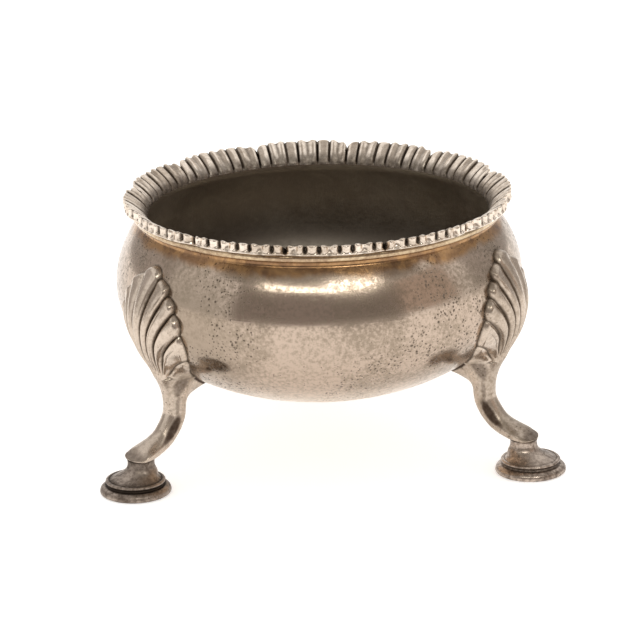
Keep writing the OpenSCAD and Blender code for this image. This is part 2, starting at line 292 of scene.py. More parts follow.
class NodeHand:
    """Adds linked nodes to a node tree."""

    def __init__(self, tree: bpy.types.NodeTree) -> None:
        """Takes the tree that the nodes go into."""
        self.tree = tree

    def fill(self, node: bpy.types.Node, sockets: dict) -> None:
        """Sets or links inputs of a node.

        Args:
            node: The node.
            sockets: Inputs by name or number, with a value or another node's output.
        """
        for key, value in sockets.items():
            if isinstance(value, Socket):
                self.tree.links.new(value, node.inputs[key])
            else:
                node.inputs[key].default_value = value

    def add(self, kind: str, sockets: dict | None = None, **settings: object) -> bpy.types.Node:
        """Adds a node.

        Args:
            kind: The node's type, without the ShaderNode that all of them start with.
            sockets: Its inputs, as for fill.
            **settings: Properties of the node.

        Returns:
            The node.
        """
        node = self.tree.nodes.new(f"ShaderNode{kind}")
        for name, value in settings.items():
            setattr(node, name, value)
        self.fill(node, sockets or {})
        return node

    def effect(self, tree: bpy.types.NodeTree, sockets: dict) -> bpy.types.bpy_prop_collection:
        """Places a shared effect and returns its outputs."""
        return self.add("Group", sockets, node_tree=tree).outputs

    def math(self, operation: str, *values: object) -> Socket:
        """Adds a Math node and returns its output."""
        return self.add("Math", dict(enumerate(values)), operation=operation).outputs[0]

    def plus(self, first: object, second: object) -> Socket:
        """Adds two values."""
        return self.math("ADD", first, second)

    def minus(self, first: object, second: object) -> Socket:
        """Takes the second value from the first."""
        return self.math("SUBTRACT", first, second)

    def times(self, first: object, second: object) -> Socket:
        """Multiplies two values."""
        return self.math("MULTIPLY", first, second)

    def mix(self, factor: object, first: object, second: object) -> Socket:
        """Adds a colour Mix node and returns its output."""
        return self.add("Mix", {0: factor, 6: first, 7: second}, data_type="RGBA").outputs[2]

    def noise(self, vector: object, scale: object, detail: float = 3.0,
              roughness: float = 0.5, distortion: float = 0.0) -> Socket:
        """Adds a Noise Texture and returns its value from 0 to 1."""
        return self.add("TexNoise", {"Vector": vector, "Scale": scale, "Detail": detail,
                                     "Roughness": roughness, "Distortion": distortion}).outputs[0]

    def ramp(self, value: object, low: object, high: object) -> Socket:
        """Adds a smooth Map Range from two limits to 0 and 1."""
        return self.add("MapRange", {0: value, 1: low, 2: high, 3: 0.0, 4: 1.0},
                        interpolation_type="SMOOTHSTEP", clamp=True).outputs[0]

    def away(self, place: Socket, middle: Sequence[float]) -> Socket:
        """Gives the distance from a point, which is given in millimetres."""
        centre = tuple(value * MM for value in middle)
        return self.add("VectorMath", {0: place, 1: centre}, operation="DISTANCE").outputs["Value"]

    def mask(self, mask: Mask) -> Socket:
        """Reads a vertex attribute."""
        return self.add("Attribute", attribute_name=mask.value).outputs["Fac"]


class EffectGroup:
    """A shared effect: a node group that is built once and placed in many materials."""

    def __init__(self, name: str, inputs: dict[str, object], outputs: Sequence[str]) -> None:
        """Makes the group's sockets.

        Args:
            name: Name of the group.
            inputs: Number or colour that each input has at first, beside the vector.
            outputs: Names of the outputs, of which Color is a colour and the rest numbers.
        """
        self.tree = bpy.data.node_groups.new(name, "ShaderNodeTree")
        self._socket("Vector", "INPUT", "Vector")
        for label, value in inputs.items():
            kind = "Color" if isinstance(value, tuple) else "Float"
            self._socket(label, "INPUT", kind).default_value = value
        for label in outputs:
            self._socket(label, "OUTPUT", "Color" if label == "Color" else "Float")
        self.hand = NodeHand(self.tree)
        self.given = self.tree.nodes.new("NodeGroupInput").outputs
        self.put = self.tree.nodes.new("NodeGroupOutput").inputs

    def _socket(self, label: str, way: str, kind: str) -> bpy.types.NodeTreeInterfaceSocket:
        """Adds a socket to the group's interface."""
        return self.tree.interface.new_socket(name=label, in_out=way,
                                              socket_type=f"NodeSocket{kind}")

    def output(self, label: str, socket: Socket) -> None:
        """Sends a socket out of the group."""
        self.tree.links.new(socket, self.put[label])


class SilverEffects:
    """The shared effects of old silver."""

    def __init__(self) -> None:
        """Builds each effect once."""
        self.tone = self._tone().tree
        self.pits = self._pits().tree
        self.hairlines = self._hairlines().tree
        self.grime_and_shade = self._grime().tree

    @staticmethod
    def _tone() -> EffectGroup:
        """Builds the mottled colour between bright and dull silver.

        Returns:
            The effect.
        """
        group = EffectGroup("silver_tone", {
            "Bright": (0.7, 0.6, 0.5, 1.0), "Dull": (0.4, 0.3, 0.25, 1.0), "Cloud scale": 90.0,
            "Fleck scale": 1500.0, "Fleck share": 0.4}, ("Color", "Dullness"))
        hand, given = group.hand, group.given
        clouds = hand.ramp(hand.noise(given["Vector"], given["Cloud scale"], 4.0, 0.6, 0.4),
                           0.3, 0.74)
        flecks = hand.ramp(hand.noise(given["Vector"], given["Fleck scale"], 4.0, 0.75), 0.3, 0.7)
        dull = hand.plus(clouds, hand.times(hand.minus(flecks, 0.5), given["Fleck share"]))
        dull.node.use_clamp = True
        group.output("Color", hand.mix(dull, given["Bright"], given["Dull"]))
        group.output("Dullness", dull)
        return group

    @staticmethod
    def _pits() -> EffectGroup:
        """Builds the scattered dark pits of corroded silver, denser in some areas.

        Returns:
            The effect.
        """
        group = EffectGroup("silver_pits", {"Scale": 1900.0, "Radius": 0.3, "Cover": 0.5},
                            ("Mask",))
        hand, given = group.hand, group.given
        bent = hand.add("TexNoise", {"Vector": given["Vector"], "Scale": 700.0})
        shift = hand.add("VectorMath", {0: bent.outputs["Color"], 1: (0.0007,) * 3},
                         operation="MULTIPLY").outputs[0]
        moved = hand.add("VectorMath", {0: given["Vector"], 1: shift}, operation="ADD").outputs[0]
        cells = hand.add("TexVoronoi", {"Vector": moved, "Scale": given["Scale"]})
        chosen = hand.add("SeparateColor", {0: cells.outputs["Color"]}).outputs[0]
        area = hand.ramp(hand.noise(given["Vector"], 75.0, 4.0, 0.65), 0.4, 0.66)
        shown = hand.math("LESS_THAN", chosen, hand.times(area, given["Cover"]))
        size = hand.times(given["Radius"], hand.plus(chosen, 0.6))
        near = hand.ramp(cells.outputs["Distance"], size, hand.times(size, 0.35))
        group.output("Mask", hand.times(near, shown))
        return group

    @staticmethod
    def _hairlines() -> EffectGroup:
        """Builds fine scratches as the height of streaks in three slanted directions.

        Returns:
            The effect.
        """
        group = EffectGroup("silver_hairlines", {"Scale": 1.0}, ("Height",))
        hand, given = group.hand, group.given
        heights = []
        for turn, stretch in (((0.1, 0.05, 0.3), (40.0, 40.0, 1500.0)),
                              ((0.6, 0.5, 1.2), (1300.0, 60.0, 60.0)),
                              ((-0.5, 0.9, 2.2), (70.0, 1400.0, 50.0))):
            mapped = hand.add("Mapping", {"Vector": given["Vector"], "Rotation": turn,
                                          "Scale": stretch}).outputs[0]
            heights.append(hand.ramp(hand.noise(mapped, given["Scale"], 2.0, 0.6), 0.5, 0.72))
        group.output("Height", hand.plus(hand.plus(heights[0], heights[1]), heights[2]))
        return group

    @staticmethod
    def _grime() -> EffectGroup:
        """Builds the edge of the dirt in crevices and of the painted shade and painted reflections,
        broken up by noise.

        Returns:
            The effect.
        """
        group = EffectGroup("silver_grime", {"Cover": 0.0, "Break": 0.35}, ("Mask",))
        hand, given = group.hand, group.given
        rough = hand.noise(given["Vector"], 1400.0, 4.0, 0.7)
        spread = hand.times(hand.minus(rough, 0.5), given["Break"])
        group.output("Mask", hand.ramp(hand.plus(given["Cover"], spread), 0.12, 0.8))
        return group


@dataclass(frozen=True)
class SilverFinish:
    """Old silver, as one part of the salt shows it."""

    name: str
    bright: Colour  # Worn, polished metal
    dull: Colour  # Tarnished metal
    # Colour of dirt, also used for the painted shade and painted reflections that share its mask
    dirt_and_shade: Colour = (0.030, 0.021, 0.015, 1.0)
    roughness: float = 0.13  # Of the bright metal
    dull_roughness: float = 0.14  # What tarnish adds to it
    dirt_and_shade_roughness: float = 0.35  # What dirt and painted shade add to it
    pit_roughness: float = 0.3  # What pits add to it
    cloud_scale: float = 90.0  # Tarnish clouds per metre
    fleck_share: float = 0.8  # How much the fine flecks show
    pit_cover: float = 0.8  # How many of the places for pits hold one
    pit_radius: float = 0.4  # Share of their spacing
    pit_strength: float = 0.5  # How far they darken the metal
    pit_mm: float = 0.006
    scratch_mm: float = 0.0025
    swell_mm: float = 0.02  # Height of the slow unevenness
    swell_scale: float = 260.0  # Its waves per metre
    rubbed_at: tuple[float, float, float] = (2.0, -31.0, 37.0)  # Rubbing has kept this clean
    rubbed_r: float = 15.0
    rubbed_share: float = 0.85  # Share of the pits that it has removed

    def build(self, effects: SilverEffects) -> Material:
        """Makes the material.

        Args:
            effects: The shared effects.

        Returns:
            The material.
        """
        material = new_material(self.name)
        hand = NodeHand(material.node_tree)
        place = hand.add("TexCoord").outputs["Object"]
        tone = hand.effect(effects.tone, {
            "Vector": place, "Bright": self.bright, "Dull": self.dull,
            "Cloud scale": self.cloud_scale, "Fleck share": self.fleck_share})
        pits = hand.effect(effects.pits, {"Vector": place, "Cover": self.pit_cover,
                                          "Radius": self.pit_radius})[0]
        lines = hand.effect(effects.hairlines, {"Vector": place})[0]
        grime_and_shade = hand.effect(effects.grime_and_shade, {"Vector": place, "Cover": hand.mask(Mask.GRIME_AND_SHADE)})[0]
        colour, rough = self.tint(hand, place, tone["Color"], tone["Dullness"])
        rubbed = hand.ramp(hand.away(place, self.rubbed_at), self.rubbed_r * MM,
                           0.5 * self.rubbed_r * MM)
        hidden = hand.math("MAXIMUM", hand.mask(Mask.INSIDE), hand.times(rubbed, self.rubbed_share))
        pitted = hand.times(pits, hand.minus(1.0, hidden))
        colour = hand.mix(hand.times(pitted, self.pit_strength), colour, self.dirt_and_shade)
        # Darkens towards that colour by the mask of dirt, painted shade and painted reflections
        colour = hand.mix(grime_and_shade, colour, self.dirt_and_shade)
        rough = hand.plus(rough, hand.times(grime_and_shade, self.dirt_and_shade_roughness))
        rough = hand.plus(rough, hand.times(pitted, self.pit_roughness))
        height = hand.plus(hand.times(lines, self.scratch_mm), hand.times(pitted, -self.pit_mm))
        swell = hand.times(hand.noise(place, self.swell_scale, 3.0), self.swell_mm)
        bump = hand.add("Bump", {"Height": hand.plus(height, swell), "Distance": MM,
                                 "Strength": 1.0}).outputs[0]
        hand.fill(material.node_tree.nodes["Principled BSDF"], {
            "Base Color": colour, "Metallic": 1.0, "Roughness": rough, "Normal": bump})
        return material

    def tint(self, hand: NodeHand, place: Socket, tone: Socket,
             dullness: Socket) -> tuple[Socket, Socket]:
        """Gives colour and roughness before pits and dirt, from the mottled tone."""
        return tone, hand.plus(hand.times(dullness, self.dull_roughness), self.roughness)


@dataclass(frozen=True)
class BowlSilver(SilverFinish):
    """The bowl's silver: gold-brown tarnish under the collar, a painted reflection that lightens
    the underside, and a dark inside with painted shade lower down.
    """

    neck_tarnish: Colour = (0.42, 0.235, 0.10, 1.0)
    neck_dark: Colour = (0.20, 0.105, 0.05, 1.0)  # Its darker clouds
    neck_z: float = 39.6
    tarnish_depth: float = 1.3  # How far it runs down from the neck
    tarnish_share: float = 0.9
    wave_mm: float = 3.5  # How far its edge wanders
    painted_floor_reflection: Colour = (0.78, 0.645, 0.50, 1.0)  # Painted reflection of the bright floor: the underside comes nearer to it
    bright_z: float = 20.0  # Height below which that starts
    bright_fade: float = 8.0
    bright_share: float = 0.75
    shade: Colour = (0.27, 0.215, 0.16, 1.0)  # The duller patch on one side
    shade_at: tuple[float, float, float] = (-24.0, -24.0, 27.0)
    shade_r: float = 14.0
    shade_share: float = 0.62
    inside: Colour = (0.58, 0.50, 0.41, 1.0)
    inside_streak: Colour = (0.72, 0.64, 0.52, 1.0)
    inside_roughness: float = 0.28  # What the inside adds to the roughness
    deep_shade: Colour = (0.15, 0.127, 0.105, 1.0)  # Painted shade: the inside lower down
    deep_z: float = 35.0  # Height at which that starts
    deep_fade: float = 8.0
    deep_share: float = 0.92

    def tint(self, hand: NodeHand, place: Socket, tone: Socket,
             dullness: Socket) -> tuple[Socket, Socket]:
        """Adds the neck's tarnish, the painted reflection that lightens the underside and the dark
        inside, with painted shade lower down, to the mottled silver.

        Args:
            hand: Adds nodes to the material.
            place: Object coordinates.
            tone: Mottled colour.
            dullness: How tarnished the metal is, from 0 to 1.

        Returns:
            Colour and roughness.
        """
        tone, rough = super().tint(hand, place, tone, dullness)
        height = hand.add("SeparateXYZ", {0: place}).outputs[2]
        waves = hand.noise(place, 120.0, 4.0, 0.6, 0.6)
        reach = hand.times(hand.minus(waves, 0.5), self.wave_mm * MM)
        top = self.neck_z * MM
        tarnish = hand.ramp(hand.plus(height, reach), top - self.tarnish_depth * MM, top)
        # Painted reflection: the colour lightens lower down, where the bowl mirrors the bright
        # floor
        low = hand.ramp(height, self.bright_z * MM, (self.bright_z - self.bright_fade) * MM)
        tone = hand.mix(hand.times(low, self.bright_share), tone, self.painted_floor_reflection)
        far = hand.plus(hand.away(place, self.shade_at), hand.times(reach, 1.2))
        shaded = hand.ramp(far, self.shade_r * MM, 0.4 * self.shade_r * MM)
        tone = hand.mix(hand.times(shaded, self.shade_share), tone, self.shade)
        veil = hand.ramp(hand.noise(place, 240.0, 4.0, 0.65, 0.5), 0.4, 0.62)
        colour = hand.mix(hand.times(tarnish, self.tarnish_share), tone,
                          hand.mix(veil, self.neck_tarnish, self.neck_dark))
        streaks = hand.ramp(hand.noise(place, 110.0, 5.0, 0.65, 0.8), 0.4, 0.75)
        dark = hand.mix(streaks, self.inside, self.inside_streak)
        # Painted shade: the inside darkens lower down
        sunk = hand.ramp(height, self.deep_z * MM, (self.deep_z - self.deep_fade) * MM)
        dark = hand.mix(hand.times(sunk, self.deep_share), dark, self.deep_shade)
        inner = hand.mask(Mask.INSIDE)
        return (hand.mix(inner, colour, dark),
                hand.plus(rough, hand.times(inner, self.inside_roughness)))


@dataclass(frozen=True)
class BowlForm:
    """The bowl's outline, which the pieces that touch it follow."""

    widest_r: float
    bottom_z: float
    lip_top_z: float
    lower_depth: float = 18.9  # Below the belly
    shoulder_half_axis: float = 22.9  # Half-axis of the ellipse above the belly
    neck_rise: float = 10.6  # Above the belly
    wall: float = 0.8
    neck_hollow_r: float = 0.8

    @property
    def belly_z(self) -> float:
        """Height of the widest point."""
        return self.bottom_z + self.lower_depth

    @property
    def neck_angle(self) -> float:
        """Angle of the shoulder's ellipse at which the neck starts."""
        return math.asin(self.neck_rise / self.shoulder_half_axis)

    @property
    def neck_slope(self) -> float:
        """Direction of the outward normal there."""
        return self.normal_angle(self.widest_r * math.cos(self.neck_angle), self.neck_rise)

    @property
    def hollow_centre(self) -> Point:
        """Centre of the hollow curve at the neck."""
        r = self.widest_r * math.cos(self.neck_angle)
        return (r + self.neck_hollow_r * math.cos(self.neck_slope),
                self.belly_z + self.neck_rise + self.neck_hollow_r * math.sin(self.neck_slope))

    @property
    def lip_r(self) -> float:
        """Outer radius of the upright lip."""
        return self.hollow_centre[0] - self.neck_hollow_r

    def normal_angle(self, r: float, rise: float) -> float:
        """Direction of the outward normal above the horizontal."""
        half_axis = self.lower_depth if rise < 0.0 else self.shoulder_half_axis
        return math.atan2(rise / half_axis ** 2, r / self.widest_r ** 2)

    def outside_r(self, z: float) -> float:
        """Radius of the bowl's outside at a height."""
        half_axis = self.lower_depth if z < self.belly_z else self.shoulder_half_axis
        return self.widest_r * math.sqrt(max(0.0, 1.0 - ((z - self.belly_z) / half_axis) ** 2))

    def underside_z(self, r: float) -> float:
        """Height of the bowl's outside under the belly at a radius."""
        return self.belly_z - self.lower_depth * math.sqrt(max(0.0, 1.0 - (r / self.widest_r) ** 2))

    def ellipse_point(self, angle: float, inwards: float) -> Point:
        """Gives a point of the sheet.

        Args:
            angle: Angle of the ellipse.
            inwards: Distance inwards from the outside.

        Returns:
            Its radius and height.
        """
        half_axis = self.lower_depth if angle < 0.0 else self.shoulder_half_axis
        r, rise = self.widest_r * math.cos(angle), half_axis * math.sin(angle)
        normal = self.normal_angle(r, rise)
        return (max(0.0, r - inwards * math.cos(normal)),
                self.belly_z + rise - inwards * math.sin(normal))

    def side(self, inwards: float, steps: tuple[int, int, int]) -> list[Point]:
        """Gives the outline of one side of the sheet, from the bottom to the lip's top.

        Args:
            inwards: Distance inwards from the outside.
            steps: Steps below the belly, between belly and neck, and in the hollow curve.

        Returns:
            Radius and height of each point.
        """
        lower_steps, upper_steps, hollow_steps = steps
        lower = [self.ellipse_point(math.pi / 2 * (i / lower_steps - 1.0), inwards)
                 for i in range(lower_steps)]
        upper = [self.ellipse_point(self.neck_angle * i / upper_steps, inwards)
                 for i in range(upper_steps + 1)]
        reach = self.neck_hollow_r + inwards
        centre_r, centre_z = self.hollow_centre
        hollow = []
        for i in range(1, hollow_steps + 1):
            angle = math.pi + self.neck_slope * (1.0 - i / hollow_steps)
            hollow.append((centre_r + reach * math.cos(angle), centre_z + reach * math.sin(angle)))
        return lower + upper + hollow + [(self.lip_r - inwards, self.lip_top_z)]


@dataclass
class Bowl:
    """The raised bowl."""

    form: BowlForm
    turns: int = 168
    steps: tuple[int, int, int] = (44, 22, 8)  # Of the outline, as for its side
    edge_below: float = 0.3  # Dirt starts this far under the collar
    edge_fade: float = 0.25
    hammer_mm: float = 0.02  # How far the sheet waves from the true form
    waves: Point = (11.0, 5.0)  # Lengths of its waves
    wave_fade: float = 4.0  # They end over this height below the neck

    def build(self, material: Material) -> None:
        """Makes the bowl.

        Args:
            material: Its silver.
        """
        outside = self.form.side(0.0, self.steps)
        inside = self.form.side(self.form.wall, self.steps)
        made, station, dirt_and_shade = spun(outside + inside[::-1], self.turns)
        inner = made.verts.layers.float[Mask.INSIDE.value]
        dirt_z = node_box("collar")[0].z
        for vertex in made.verts:
            is_inner = vertex[station] >= len(outside)
            vertex[inner] = 1.0 if is_inner else 0.0
            edge = smooth((vertex.co.z - dirt_z + self.edge_below) / self.edge_fade)
            vertex[dirt_and_shade] = 0.0 if is_inner else edge
            self._hammer(vertex)
        Piece("bowl_body", ("bowl",), MaterialSlot.BOWL, material).finish(made)

    def _hammer(self, vertex: Vert) -> None:
        """Moves a vertex by the slow waves that raising leaves in the sheet.

        Args:
            vertex: The vertex.
        """
        fade = smooth((self.form.belly_z + self.form.neck_rise - vertex.co.z) / self.wave_fade)
        long_wave, short_wave = self.waves
        wave = noise.noise(vertex.co / long_wave) + 0.5 * noise.noise(vertex.co / short_wave)
        level = Vector((vertex.co.x, vertex.co.y, 0.0))
        if level.length > 1.0:
            vertex.co += level.normalized() * wave * self.hammer_mm * fade


@dataclass
class Collar:
    """The plain half-round wire round the lip."""

    form: BowlForm
    turns: int = 240
    round_steps: int = 14
    fullness: float = 0.8  # Below 1, the section is fuller than a half ellipse
    dirt_share: float = 0.7
    dirt_reach: float = 0.75  # How far out the dirt comes, as a share of the width
    wave_mm: float = 0.04  # How far the wire wanders
    wave_length: float = 7.0

    def build(self, material: Material) -> None:
        """Makes the collar.

        Args:
            material: Its silver.
        """
        low, high = node_box("collar")
        inner_r = self.form.lip_r
        width = high.x - inner_r
        middle, half = (low.z + high.z) / 2, (high.z - low.z) / 2
        section = []
        for i in range(self.round_steps + 1):
            angle = math.pi * (i / self.round_steps - 0.5)
            section.append((inner_r + width * math.cos(angle) ** self.fullness,
                            middle + half * math.sin(angle)))
        made, _, dirt_and_shade = spun(section, self.turns, closed=True)
        for vertex in made.verts:
            level = Vector((vertex.co.x, vertex.co.y, 0.0))
            out = (level.length - inner_r) / width
            vertex[dirt_and_shade] = self.dirt_share * (1.0 - smooth(out / self.dirt_reach))
            wave = noise.noise(level / self.wave_length) * self.wave_mm * smooth(out)
            vertex.co -= level.normalized() * abs(wave)
        Piece("collar_wire", ("collar",), MaterialSlot.RIM, material).finish(made)


@dataclass(frozen=True)
class BorderPoint:
    """A point of the border's section and how far a groove and a reel's hollow cut it."""

    place: float  # Share of the border's width
    height: float  # Share of its height
    groove_in: float = 0.0  # Inward share of a groove's depth
    groove_down: float = 0.0
    scoop_in: float = 0.0  # Inward share of a reel's hollow
    scoop_down: float = 0.0
    gap: float = 0.3  # How far the grooves are widened into pits, from 0 to 1


BORDER_FACE = (
    BorderPoint(0.000, 0.000, -0.45, 0.00, -0.20, 0.00, 0.3),
    BorderPoint(0.015, 0.100, -0.60, 0.10, -0.40, 0.05, 0.3),
    BorderPoint(0.070, 0.240, -0.55, 0.45, -0.40, 0.30, 0.3),
    BorderPoint(0.180, 0.420, -0.30, 0.75, -0.20, 0.60, 0.3),
    BorderPoint(0.340, 0.600, -0.10, 0.90, -0.05, 0.90, 0.3),
    BorderPoint(0.500, 0.755, 0.00, 0.95, 0.00, 1.00, 0.3),
    BorderPoint(0.650, 0.875, 0.05, 0.90, 0.05, 1.10, 0.3),
    BorderPoint(0.790, 0.960, 0.15, 0.75, 0.20, 1.20, 0.3),
    BorderPoint(0.890, 1.000, 0.40, 0.60, 0.60, 1.00, 0.35),
    BorderPoint(0.960, 0.975, 0.95, 0.45, 1.30, 0.70, 0.55),
    BorderPoint(0.995, 0.890, 1.40, 0.20, 1.70, 0.30, 0.8),
    BorderPoint(1.000, 0.790, 1.50, 0.00, 1.70, 0.00, 1.0),
    BorderPoint(0.990, 0.690, 1.45, -0.05, 1.30, 0.00, 0.9),
    BorderPoint(0.975, 0.615, 0.90, -0.05, 0.70, 0.00, 0.6),
    BorderPoint(0.970, 0.575, 0.30, 0.00, 0.10, 0.00, 0.3),
    BorderPoint(0.970, 0.540),
    BorderPoint(0.955, 0.495),
    BorderPoint(0.900, 0.465),
)


@dataclass
class Border:
    """The cast border: twelve scallops, each of three reels and three darts."""

    form: BowlForm
    inset: float = 0.8  # Thickness inside the lip
    drop: float = 0.6  # How far its inner edge hangs below the lip's top
    solder: float = 0.04  # Film between two pieces
    groove_mm: float = 0.62
    hollow_mm: float = 0.36  # Depth of a reel's hollow
    dart_drop_mm: float = 0.22  # How far a dart lies below its reels
    scallop_mm: float = 0.8  # How far the outline comes in between scallops
    notch_mm: float = 0.6  # How much further it comes in right at the notch
    dip_mm: float = 0.75  # How far the crest dips there
    reel_share: float = 0.61  # Share of a unit that the reel takes
    reel_edge: float = 0.92  # Share of a reel's half-width that its outer end takes
    dart_edge: float = 0.85
    shoulder: float = 0.4  # Share of a reel's half-width at which it starts to fall
    # Dirt in the grooves, spread over the lobes' flanks as painted shade
    groove_dirt_and_shade: float = 0.86
    end_less: float = 0.22  # How much less of it there is at the outer end
    # Painted shade on the lower inner face
    foot_shade: float = 0.62
    hollow_dirt: float = 0.48
    # Painted shade on the lower half of the outer ends
    end_shade: float = 0.22
    # Painted shade on the border's underside
    under_shade: float = 0.6
    lengths: int = 4
    first_seam: float = 15.0  # Turn at which the first length starts
    scallop: float = 30.0  # Turn that a scallop takes
    headroom: float = 0.02  # How far the crest stays under the solid's
    seed: int = 41
    units: int = 36  # Reels round the whole border
    samples: int = 40  # Steps of the spin for each reel and dart
    fine: int = 3  # Steps between two points of the section's table
    merge_mm: float = 0.0001  # Less than between points in the grooves' narrow ends

    def __post_init__(self) -> None:
        """Places the grooves, a little uneven as a cast and chased border is."""
        chance = random.Random(self.seed)
        unit = 360.0 / self.units
        self.grooves: list[float] = []
        self.lifts: list[float] = []
        for index in range(self.units):
            shift = 0.0 if index % 3 == 0 else chance.uniform(-0.35, 0.35)
            self.grooves.append(index * unit + shift)
            self.grooves.append((index + self.reel_share) * unit + chance.uniform(-0.3, 0.3))
            self.lifts += [chance.uniform(-0.06, 0.02), chance.uniform(-0.08, 0.06)]
        self.grooves.append(360.0)
        self.in_r = self.form.lip_r - self.form.wall - self.inset
        self.low_z = self.form.lip_top_z - self.drop
        self.seat_z = node_box("collar")[1].z + self.solder
        top_z = max(node_box(f"border_length_{i + 1}")[1].z for i in range(self.lengths))
        self.rise = top_z - self.headroom - self.low_z
        reach = max(Vector((v.co.x, v.co.y)).length
                    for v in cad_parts["border_length_1"].data.vertices)
        self.width = reach / MM - self.in_r

    def section(self) -> list[BorderPoint]:
        """Refines the table of the section, and adds the plain points at the lip.

        Returns:
            The points.
        """
        face = [BorderPoint(*row) for row in refined(BORDER_FACE, self.fine)]
        lip_out, lip_in = self.form.lip_r + self.solder, self.form.lip_r - self.form.wall
        top = self.form.lip_top_z + self.solder
        rebate = [(lip_out, self.seat_z), (lip_out, top), (lip_in - self.solder, top),
                  (lip_in - self.solder, self.low_z)]
        return face + [BorderPoint((r - self.in_r) / self.width, (z - self.low_z) / self.rise)
                       for r, z in rebate]

    def build(self, material: Material) -> None:
        """Makes the four lengths.

        Args:
            material: Their silver.
        """
        section = self.section()
        gap = math.degrees(self.solder / 2 / self.in_r)
        outline = [(self.in_r + self.width * p.place, self.low_z + self.rise * p.height)
                   for p in section]
        span = 360.0 / self.lengths
        for index in range(self.lengths):
            made, station, dirt_and_shade = spun(outline, self.samples * self.units // self.lengths,
                                       self.first_seam + span * index + gap, span - 2 * gap,
                                       closed=True)
            for vertex in made.verts:
                self._chase(vertex, section[vertex[station]], dirt_and_shade)
            name = f"border_length_{index + 1}"
            Piece(f"gadroon_{index + 1}", (name,), MaterialSlot.RIM, material, 60.0,
                  self.merge_mm).finish(made)

    def _chase(self, vertex: Vert, point: BorderPoint, dirt_and_shade: Layer) -> None:
        """Cuts the lobes into one vertex of the spun section.

        Args:
            vertex: The vertex.
            point: Its point of the section.
            dirt_and_shade: Layer that takes the dirt in the grooves and the painted shade on the
                lobes' flanks, the lower inner face, the outer ends and the underside.
        """
        turn = math.degrees(math.atan2(vertex.co.y, vertex.co.x)) % 360.0
        around = (turn - self.first_seam) % 360.0
        lobe = clamp(bisect_right(self.grooves, around) - 1, 0, len(self.grooves) - 2)
        start, end = self.grooves[lobe], self.grooves[lobe + 1]
        x = clamp(2.0 * (around - start) / (end - start) - 1.0, -1.0, 1.0)
        is_reel = lobe % 2 == 0
        edge = 1.0 - (1.0 - (self.reel_edge if is_reel else self.dart_edge)) * point.gap
        along = min(1.0, abs(x) / edge)
        at_end = smooth((point.place - 0.9) / 0.08) if point.height > 0.58 else 0.0
        scoop = sink = 0.0
        if is_reel:
            past = max(0.0, (along - self.shoulder) / (1.0 - self.shoulder))
            fall = 1.0 - math.sqrt(1.0 - past ** 2)
            scoop = self.hollow_mm * (1.0 - smooth(1.55 * along))
        else:
            fall = 1.0 - math.sqrt(1.0 - along ** 2)
            sink = self.dart_drop_mm * (1.0 - fall)
        share = abs(2.0 * ((around % self.scallop) / self.scallop) - 1.0)
        set_in = (self.scallop_mm * share ** 4 + self.notch_mm * share ** 10) * point.place
        dip = self.dip_mm * (0.4 * share ** 5 + 0.6 * share ** 16)
        dip = (dip - self.lifts[lobe] * (1.0 - fall)) * point.height
        cut = (self.groove_mm + self.dart_drop_mm / 2) * fall
        inward = cut * point.groove_in + scoop * point.scoop_in + set_in
        inward += sink * point.groove_in * 0.4
        down = cut * point.groove_down + scoop * point.scoop_down + sink * point.groove_down + dip
        r = Vector((vertex.co.x, vertex.co.y)).length - inward
        vertex.co = at_turn(r, turn, vertex.co.z - down)
        # Painted shade on the underside, under the border's overhang
        if point.height < 0.5 and point.place > 0.5:
            vertex[dirt_and_shade] = self.under_shade
            return
        depth = clamp(abs(point.groove_down) + abs(point.groove_in))
        # Dirt in the grooves, spread over the lobes' flanks as painted shade
        in_groove = self.groove_dirt_and_shade - self.end_less * at_end
        in_groove *= smooth((fall - 0.02) / 0.62) * depth
        # Painted shade on the lower inner face, darker towards the inner edge
        at_foot = self.foot_shade * (1.0 - smooth(point.place / 0.62))
        in_hollow = self.hollow_dirt * (scoop / self.hollow_mm) ** 1.5 * (1.0 - at_end)
        # Painted shade on the lower half of the outer ends
        low_end = self.end_shade * at_end * smooth((0.93 - point.height) / 0.2)
        vertex[dirt_and_shade] = max(in_groove, at_foot, in_hollow, low_end)


@dataclass
class KneeForm:
    """The shape that a shell and its leg share at their joint.

    A place across the shell is in flutes from its middle.
    """

    form: BowlForm
    joint_z: float
    joint_w: float = 7.8
    joint_out: float = 5.4  # How far its front stands out from the bowl
    side_share: float = 0.58  # Share of that which its sides lose
    side_flutes: int = 4  # Flutes on each side of the middle one
    cheek: float = 1.0  # Width of the smooth cheek, in flutes
    flute_foot_share: float = 0.36  # Share of the joint that the flutes' feet take
    sunk: float = 0.05  # How far edges sink into the bowl

    @property
    def groove_end(self) -> float:
        """Place of the last groove."""
        return self.side_flutes + 0.5

    @property
    def end(self) -> float:
        """Place of the cheek's edge."""
        return self.groove_end + self.cheek

    def foot_share(self, place: float) -> float:
        """Gives how far out along the joint a flute's foot stands.

        Args:
            place: Place across the shell.

        Returns:
            Share of the joint's half-width.
        """
        if abs(place) <= self.groove_end:
            return self.flute_foot_share * abs(place) / self.groove_end
        return self.flute_foot_share + (1.0 - self.flute_foot_share) \
            * (abs(place) - self.groove_end) / self.cheek

    def place_at(self, foot_share: float) -> float:
        """Gives the place across the shell whose foot stands at a point of the joint.

        Args:
            foot_share: Share of the joint's half-width.

        Returns:
            The place.
        """
        if foot_share <= self.flute_foot_share:
            return self.groove_end * foot_share / self.flute_foot_share
        return self.groove_end + self.cheek \
            * (foot_share - self.flute_foot_share) / (1.0 - self.flute_foot_share)

    def side_round(self, place: float) -> float:
        """Rounding of the cheek's edge down to the bowl."""
        return quarter_round((self.end - abs(place)) / (0.75 * self.cheek))

    def joint_stand(self, place: float) -> float:
        """How far the joint stands out from the bowl at a place across it."""
        stand = self.joint_out * (1.0 - self.side_share * self.foot_share(place) ** 2)
        return (stand + self.sunk) * self.side_round(place) - self.sunk


